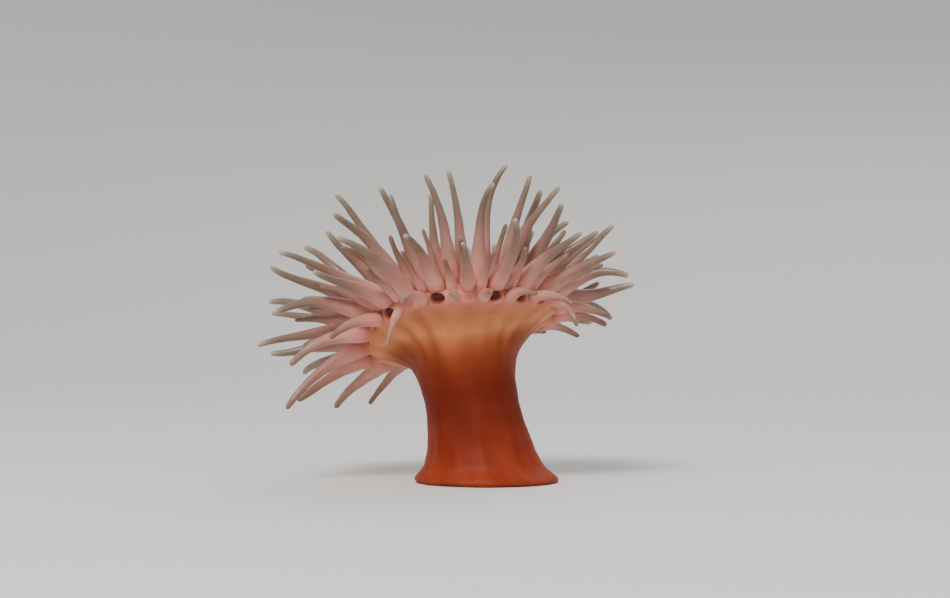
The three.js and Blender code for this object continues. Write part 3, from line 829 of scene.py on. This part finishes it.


# ---------- finish ----------
# Colours along the body's outline, each at a ring of it: linear red, green, blue. The collar's bright
# orange-tan over the dark column is partly the flesh's own colour and partly painted light: a lit
# collar over a column in painted shade.
BODY_COLOURS = (
    (0, (0.12, 0.016, 0.006)),
    (FIRST_COLUMN_RING - 1, (0.25, 0.030, 0.008)),
    (FIRST_COLUMN_RING + 2, (0.20, 0.020, 0.005)),
    (FIRST_COLUMN_RING + 4.5, (0.135, 0.011, 0.0025)),
    (FIRST_COLLAR_RING - 3.4, (0.135, 0.011, 0.0022)),
    (FIRST_COLLAR_RING - 2.2, (0.18, 0.022, 0.005)),
    (FIRST_COLLAR_RING - 1, (0.25, 0.047, 0.013)),
    (FIRST_COLLAR_RING + 0.2, (0.36, 0.094, 0.029)),
    (FIRST_COLLAR_RING + 1.3, (0.50, 0.155, 0.052)),
    (FIRST_COLLAR_RING + 2.6, (0.66, 0.255, 0.108)),
    (FIRST_COLLAR_RING + 4.7, (0.58, 0.218, 0.095)),
    (FIRST_CROWN_RING, (0.57, 0.21, 0.135)),
    (FIRST_CROWN_RING + 2, (0.60, 0.24, 0.195)),
    (FIRST_DISC_RING, (0.40, 0.12, 0.09)),
    (FIRST_DISC_RING + 3, (0.30, 0.09, 0.055)),
    (FIRST_LIP_RING, (0.48, 0.19, 0.13)),
    (FIRST_LIP_RING + 3, (0.12, 0.012, 0.009)),
)
# Colours along a tentacle, from its root to its tip.
TENTACLE_COLOURS = (
    (0.0, (0.66, 0.27, 0.225)),
    (0.14, (0.70, 0.33, 0.28)),
    (0.32, (0.47, 0.238, 0.195)),
    (0.6, (0.245, 0.150, 0.115)),
    (0.86, (0.195, 0.148, 0.108)),
    (0.95, (0.265, 0.220, 0.165)),
    (1.0, (0.37, 0.325, 0.26)),
)
# painted shade at the bottoms of the hollows between the margin's tentacles
HOLLOW_SHADE_COLOUR = (0.17, 0.026, 0.036)
LIP_COLOUR = (0.72, 0.38, 0.32)
STREAK_COLOUR = (0.30, 0.048, 0.013)
# painted shade in the grooves of the collar's folds
FOLD_SHADE_COLOUR = (0.66, 0.48, 0.40)       # this and the next two multiply what lies below
BLOTCH_COLOUR = (0.72, 0.50, 0.46)
SPECK_COLOUR = (1.25, 1.3, 1.3)

# Patterns: how fine a noise is, per metre, or per millimetre of the upright body in each way.
STREAKS = (0.24, 0.24, 0.02)
CREASES = (0.3, 0.3, 0.9)
BLOTCHES = 170
SPECKS = 620
PORES = 520
CREASE_DEPTH = 0.1                      # in millimetres
PORE_DEPTH = 0.045
# From which value to which a pattern shows, and how strongly it does at each.
STREAK_SHOWS = (0.42, 0.66)
STREAK_FADES = (FIRST_COLUMN_RING + 6, FIRST_COLUMN_RING)
STREAK_STRENGTH = (0.05, 0.6)
FOLD_SHADE_SHOWS = (0, 0.9, 0, 0.75)
BLOTCH_SHOWS = (0.38, 0.66, 0, 0.32)
SPECK_SHOWS = (0.5, 0.72, 0, 0.2)
LIP_SHOWS = (0, -1, 0, 0.5)
HOLLOW_SHADE_SHOWS = (0, 0.9)
FINGER_SHOWS = (0, 0.05)
CROWN_STARTS = (FIRST_CROWN_RING - 1, FIRST_CROWN_RING + 0.5)
ROUGHNESS = (0.3, 0.7, 0.5, 0.6)        # it follows the blotches
CROWN_SMOOTHER = 0.76
CROWN_COAT = 0.3
FLESH = {
    "IOR": 1.36,
    "Specular IOR Level": 0.22,
    "Subsurface Weight": 0.6,
    "Subsurface Radius": (1.0, 0.42, 0.3),
    "Subsurface Scale": 1.2 * MM,
    "Coat Roughness": 0.1,
}
# Where a Mix node keeps its sockets for colours.
MIX_FACTOR = 0
MIX_FIRST = 6
MIX_SECOND = 7
MIX_RESULT = 2


def ring_share(ring):
    """The share of the outline at a ring, or between two rings."""
    low = int(ring)
    high = min(low + 1, len(SHARES) - 1)
    return SHARES[low] + (SHARES[high] - SHARES[low]) * (ring - low)


class Recipe:
    """A material's nodes, added one by one and joined as they are added."""

    def __init__(self, name):
        self.material = bpy.data.materials.new(name)
        self.material.use_nodes = True
        self.nodes = self.material.node_tree.nodes
        self.links = self.material.node_tree.links
        self.shader = self.nodes["Principled BSDF"]

    def join(self, source, node, socket):
        self.links.new(source, node.inputs[socket])

    def attribute(self, name, output="Fac"):
        node = self.nodes.new("ShaderNodeAttribute")
        node.attribute_name = name
        return node.outputs[output]

    def place(self):
        return self.nodes.new("ShaderNodeTexCoord").outputs["Object"]

    def stretched(self, vector, scale):
        """The same place, scaled by its own factor in each way."""
        node = self.nodes.new("ShaderNodeMapping")
        node.inputs["Scale"].default_value = scale
        self.join(vector, node, "Vector")
        return node.outputs["Vector"]

    def noise(self, vector, scale, detail=3):
        node = self.nodes.new("ShaderNodeTexNoise")
        node.inputs["Scale"].default_value = scale
        node.inputs["Detail"].default_value = detail
        self.join(vector, node, "Vector")
        return node.outputs["Fac"]

    def ramp(self, value, stops):
        node = self.nodes.new("ShaderNodeValToRGB")
        elements = node.color_ramp.elements
        while len(elements) < len(stops):
            elements.new(1)
        for element, (place, colour) in zip(elements, stops):
            element.position = place
            element.color = (*colour, 1)
        self.join(value, node, "Fac")
        return node.outputs["Color"]

    def spans(self, value, low, high, to_low=0, to_high=1):
        """Takes a value's span from low to high onto another span, and stops at its ends."""
        node = self.nodes.new("ShaderNodeMapRange")
        for socket, number in (("From Min", low), ("From Max", high),
                               ("To Min", to_low), ("To Max", to_high)):
            node.inputs[socket].default_value = number
        self.join(value, node, "Value")
        return node.outputs["Result"]

    def times(self, first, second):
        """Multiplies two values, each a socket or a plain number."""
        node = self.nodes.new("ShaderNodeMath")
        node.operation = "MULTIPLY"
        for socket, value in ((0, first), (1, second)):
            if isinstance(value, (int, float)):
                node.inputs[socket].default_value = value
            else:
                self.join(value, node, socket)
        return node.outputs[0]

    def mix(self, factor, first, second, blend="MIX"):
        """Blends two colours, each a socket or a plain colour."""
        node = self.nodes.new("ShaderNodeMix")
        node.data_type = "RGBA"
        node.blend_type = blend
        for socket, value in ((MIX_FACTOR, factor), (MIX_FIRST, first), (MIX_SECOND, second)):
            if isinstance(value, (int, float)):
                node.inputs[socket].default_value = value
            elif isinstance(value, tuple):
                node.inputs[socket].default_value = (*value, 1)
            else:
                self.join(value, node, socket)
        return node.outputs[MIX_RESULT]

    def bump(self, height, depth, below=None):
        """Fine relief of a depth in millimetres, laid over another such relief."""
        node = self.nodes.new("ShaderNodeBump")
        node.inputs["Distance"].default_value = depth * MM
        self.join(height, node, "Height")
        if below is not None:
            self.join(below, node, "Normal")
        return node.outputs["Normal"]


def flesh():
    """Colour along the outline and the tentacles, with painted light and shade on the collar, in its
    folds and in the hollows, patterns over it, moist soft flesh below.
    """
    recipe = Recipe("anemone_flesh")
    place = recipe.place()
    upright = recipe.attribute("upright", "Vector")
    tone = recipe.attribute("tone")
    along = recipe.attribute("along")
    hollow = recipe.attribute("hollow")
    crown = recipe.spans(tone, *map(ring_share, CROWN_STARTS))
    blotches = recipe.noise(place, BLOTCHES)

    # the ramp paints the collar lighter than the column, partly its own colour and partly painted light
    # and shade
    body = recipe.ramp(tone, [(ring_share(ring), colour) for ring, colour in BODY_COLOURS])
    streaks = recipe.spans(recipe.noise(recipe.stretched(upright, STREAKS), 1), *STREAK_SHOWS)
    low = recipe.spans(tone, *map(ring_share, STREAK_FADES), *STREAK_STRENGTH)
    body = recipe.mix(recipe.times(streaks, low), body, STREAK_COLOUR)
    # painted shade in the grooves of the collar's folds, stronger at the sides
    fold_shade = recipe.spans(recipe.attribute("fold_shade"), *FOLD_SHADE_SHOWS)
    body = recipe.mix(fold_shade, body, FOLD_SHADE_COLOUR, "MULTIPLY")
    finger = recipe.ramp(along, TENTACLE_COLOURS)
    skin = recipe.mix(recipe.spans(along, *FINGER_SHOWS), body, finger)
    skin = recipe.mix(recipe.spans(blotches, *BLOTCH_SHOWS), skin, BLOTCH_COLOUR, "MULTIPLY")
    specks = recipe.spans(recipe.noise(place, SPECKS, 2), *SPECK_SHOWS)
    skin = recipe.mix(specks, skin, SPECK_COLOUR, "MULTIPLY")
    skin = recipe.mix(recipe.spans(hollow, *LIP_SHOWS), skin, LIP_COLOUR)
    # painted shade in the hollows
    skin = recipe.mix(recipe.spans(hollow, *HOLLOW_SHADE_SHOWS), skin, HOLLOW_SHADE_COLOUR)

    shader = recipe.shader
    recipe.join(skin, shader, "Base Color")
    smoother = recipe.spans(crown, 0, 1, 1, CROWN_SMOOTHER)
    recipe.join(recipe.times(recipe.spans(blotches, *ROUGHNESS), smoother), shader, "Roughness")
    recipe.join(recipe.times(crown, CROWN_COAT), shader, "Coat Weight")
    creases = recipe.noise(recipe.stretched(upright, CREASES), 1, 2)
    pores = recipe.noise(place, PORES, 2)
    surface = recipe.bump(pores, PORE_DEPTH, recipe.bump(creases, CREASE_DEPTH))
    recipe.join(surface, shader, "Normal")
    for socket, value in FLESH.items():
        shader.inputs[socket].default_value = value
    return recipe.material


# ---------- stage, lights and camera, in metres ----------
FLOOR_RADIUS = 0.5
FLOOR_SIDES = 96
SWEEP_RADIUS = 1.6
SWEEP_STEPS = 30
WALL_TOP = 2.4
FLOOR_COLOUR = (0.74, 0.73, 0.71, 1)
FLOOR_ROUGHNESS = 0.9
LIT_PLACE = (-0.005, 0, 0.035)      # the lights point at the crown's middle
LIGHTS = (
    {"name": "key", "place": (-0.28, -0.74, 0.84), "size": 0.40, "power": 13.5,
     "colour": (1, 0.97, 0.93)},
    {"name": "fill", "place": (0.90, -0.50, 0.45), "size": 0.90, "power": 1.6,
     "colour": (0.93, 0.96, 1)},
    {"name": "back", "place": (0.25, 0.80, 0.80), "size": 0.70, "power": 3.2,
     "colour": (1, 1, 1)},
)
STUDIO_COLOUR = (0.94, 0.97, 1, 1)
STUDIO_STRENGTH = 0.6
CAMERA_PLACE = Vector((-2.4, -450, 36.6)) * MM
CAMERA_LENS = 85.26                 # in millimetres, as is the sensor
SENSOR_WIDTH = 36


def build_stage():
    """A pale round floor that sweeps up into a wall on all sides, open at the top."""
    bpy.ops.object.select_all(action="DESELECT")
    bpy.ops.mesh.primitive_circle_add(vertices=FLOOR_SIDES, radius=FLOOR_RADIUS,
                                      fill_type="NGON")
    floor = bpy.context.object
    floor.name = "floor"
    bpy.ops.object.mode_set(mode="EDIT")
    bpy.ops.mesh.select_mode(type="EDGE")
    bpy.ops.mesh.select_all(action="SELECT")
    turns = [math.pi / 2 * step / SWEEP_STEPS for step in range(SWEEP_STEPS + 1)]
    outline = [(FLOOR_RADIUS + SWEEP_RADIUS * math.sin(turn), SWEEP_RADIUS * (1 - math.cos(turn)))
               for turn in turns]
    outline.append((FLOOR_RADIUS + SWEEP_RADIUS, WALL_TOP))
    sheet = bmesh.from_edit_mesh(floor.data)
    for (narrow, low), (wide, high) in zip(outline, outline[1:]):
        for edge in sheet.edges:
            edge.select_set(edge.is_boundary)
        bmesh.update_edit_mesh(floor.data)
        bpy.ops.mesh.extrude_edges_move(TRANSFORM_OT_translate={"value": (0, 0, high - low)})
        growth = wide / narrow
        bpy.ops.transform.resize(value=(growth, growth, 1), center_override=(0, 0, high))
        sheet = bmesh.from_edit_mesh(floor.data)
    bpy.ops.mesh.select_all(action="SELECT")
    bpy.ops.mesh.normals_make_consistent(inside=True)
    bpy.ops.object.mode_set(mode="OBJECT")
    bpy.ops.object.shade_smooth()
    paint = Recipe("floor")
    paint.shader.inputs["Base Color"].default_value = FLOOR_COLOUR
    paint.shader.inputs["Roughness"].default_value = FLOOR_ROUGHNESS
    floor.data.materials.append(paint.material)


def build_lights():
    """Three soft round lamps in an evenly lit studio."""
    for lamp in LIGHTS:
        light = bpy.data.lights.new(lamp["name"], "AREA")
        light.shape = "DISK"
        light.size = lamp["size"]
        light.energy = lamp["power"]
        light.color = lamp["colour"]
        stand = bpy.data.objects.new(lamp["name"], light)
        bpy.context.collection.objects.link(stand)
        stand.location = lamp["place"]
        aim = Vector(LIT_PLACE) - Vector(lamp["place"])
        stand.rotation_euler = aim.to_track_quat("-Z", "Y").to_euler()
        stand.visible_camera = False
    world = bpy.data.worlds.new("studio")
    world.use_nodes = True
    background = world.node_tree.nodes["Background"]
    background.inputs["Color"].default_value = STUDIO_COLOUR
    background.inputs["Strength"].default_value = STUDIO_STRENGTH
    bpy.context.scene.world = world


def build_camera():
    """The camera looks straight back, level."""
    camera = bpy.data.cameras.new("camera")
    camera.lens = CAMERA_LENS
    camera.sensor_width = SENSOR_WIDTH
    stand = bpy.data.objects.new("camera", camera)
    bpy.context.collection.objects.link(stand)
    stand.location = CAMERA_PLACE
    stand.rotation_euler = (math.radians(90), 0, 0)
    bpy.context.scene.camera = stand


# ---------- the whole ----------
def build_anemone():
    """One skin that stands for every piece of flesh."""
    runs = lay_tentacles()
    skin = start_body()
    bend_body(skin)
    mark_crown(skin)
    sink_hollows(skin)
    raise_webs(skin)
    grow_tentacles(skin, runs)
    lay_out_map(skin, runs)
    round_off(skin)
    add_relief(skin)
    add_tone(skin)
    skin.data.materials.append(flesh())
    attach(skin, "root")
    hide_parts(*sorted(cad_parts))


build_camera()
build_stage()
build_lights()
build_anemone()
